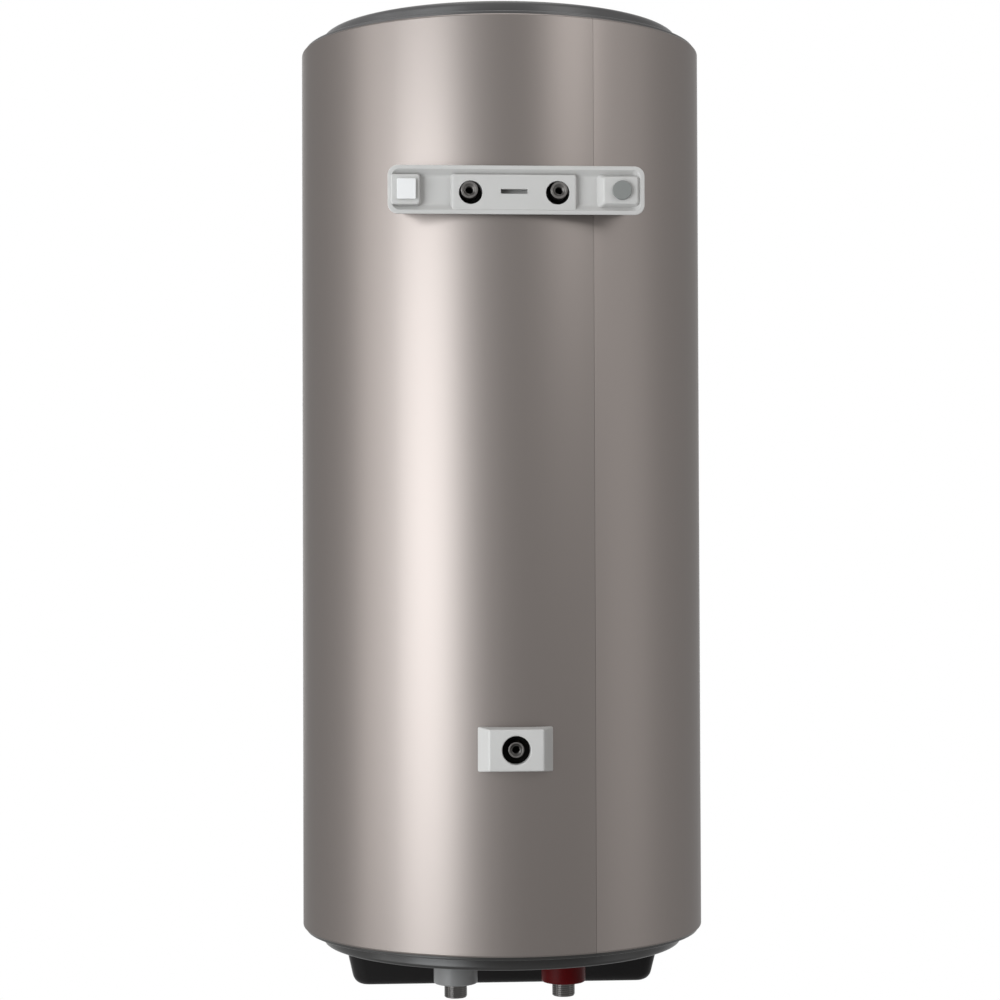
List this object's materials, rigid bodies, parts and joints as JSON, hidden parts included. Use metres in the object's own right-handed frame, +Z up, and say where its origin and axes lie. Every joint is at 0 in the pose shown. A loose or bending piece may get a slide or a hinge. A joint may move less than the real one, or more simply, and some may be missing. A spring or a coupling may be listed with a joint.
{
  "type": "tank water heater",
  "caption": "Slim round wall-hung electric tank water heater with a rear hanger tray, a lower wall spacer, and threaded pipe stubs and a service cover beneath.",
  "frame": {"origin": "in the wall plane, midway between the two upper threaded bosses that hang the heater", "axes": "+Z up along the tank, +Y into the wall, so the heater's front faces -Y; +X is towards the cold pipe"},
  "size_m": [0.385, 0.402, 0.915],
  "materials": {
    "casing": "satin",
    "lid_grey": "satin",
    "black_plastic": "satin",
    "pale_plastic": "satin",
    "white_plastic": "matte",
    "mid_grey_plastic": "matte",
    "ring_grey": "satin",
    "ring_red": "satin",
    "chrome": "polished",
    "zinc": "satin",
    "enamel": "satin",
    "foam": "matte",
    "copper": "satin",
    "magnesium": "matte",
    "seal": "matte",
    "switch_red": "satin",
    "lamp": "gloss",
    "glass": "gloss",
    "wire_brown": "satin",
    "wire_blue": "satin",
    "wire_green": "satin"
  },
  "bodies": {
    "heater": {"outer_casing": "casing", "top_lid": "lid_grey", "bottom_lid": "lid_grey", "inner_tank": "enamel", "foam_insulation": "foam", "hanger_channel": "zinc", "hanger_tray": "pale_plastic", "hanger_boss_1": "zinc", "hanger_boss_2": "zinc", "square_wall_pad": "white_plastic", "round_wall_pad": "mid_grey_plastic", "lower_channel": "zinc", "lower_boss": "zinc", "lower_spacer": "pale_plastic", "cold_inlet_pipe": "chrome", "cold_ring": "ring_grey", "inlet_diffuser": "white_plastic", "hot_outlet_pipe": "chrome", "hot_ring": "ring_red", "flange_plate": "zinc", "flange_gasket": "seal", "flange_bolt_1": "zinc", "flange_bolt_2": "zinc", "flange_bolt_3": "zinc", "flange_bolt_4": "zinc", "flange_bolt_5": "zinc", "heating_element_long": "copper", "heating_element_short": "copper", "anode_rod": "magnesium", "thermowell": "copper", "thermal_cutout": "black_plastic", "earth_stud": "zinc", "service_cover": "black_plastic", "cover_screw_1": "zinc", "cover_screw_2": "zinc", "cover_screw_3": "zinc", "cover_screw_4": "zinc", "cable_gland": "black_plastic", "terminal_block": "white_plastic", "live_wire": "wire_brown", "neutral_wire": "wire_blue", "earth_wire": "wire_green", "thermostat_capillary": "copper", "thermostat_body": "white_plastic", "dial_ring": "pale_plastic", "left_switch_housing": "black_plastic", "right_switch_housing": "black_plastic", "indicator_lamp": "lamp", "thermometer_case": "black_plastic", "thermometer_dial": "white_plastic", "thermometer_lens": "glass", "thermometer_bezel": "chrome"},
    "knob": {"thermostat_knob": "mid_grey_plastic", "thermostat_shaft": "zinc"},
    "left_rocker": {"left_switch_rocker": "switch_red"},
    "right_rocker": {"right_switch_rocker": "switch_red"},
    "button": {"reset_button": "switch_red"},
    "needle": {"thermometer_needle": "black_plastic"}
  },
  "joints": [
    {"name": "knob_turn", "type": "hinge", "parent": "heater", "child": "knob", "pos_m": [-0.034, -0.3455, -0.71815], "axis": [0, 1, 0], "range_deg": [0, 270]},
    {"name": "left_rocker_tip", "type": "hinge", "parent": "heater", "child": "left_rocker", "pos_m": [0.016, -0.3385, -0.71815], "axis": [1, 0, 0], "range_deg": [-16, 0]},
    {"name": "right_rocker_tip", "type": "hinge", "parent": "heater", "child": "right_rocker", "pos_m": [0.04, -0.3385, -0.71815], "axis": [1, 0, 0], "range_deg": [-16, 0]},
    {"name": "reset_press", "type": "slide", "parent": "heater", "child": "button", "axis": [0, 0, 1], "range_m": [0, 0.003], "stiffness_N_per_m": 300, "springref_m": -0.003},
    {"name": "needle_sweep", "type": "hinge", "parent": "heater", "child": "needle", "pos_m": [0, -0.3958, -0.54], "axis": [0, 1, 0], "range_deg": [0, 240], "stiffness_Nm_per_rad": 0.0002}
  ]
}
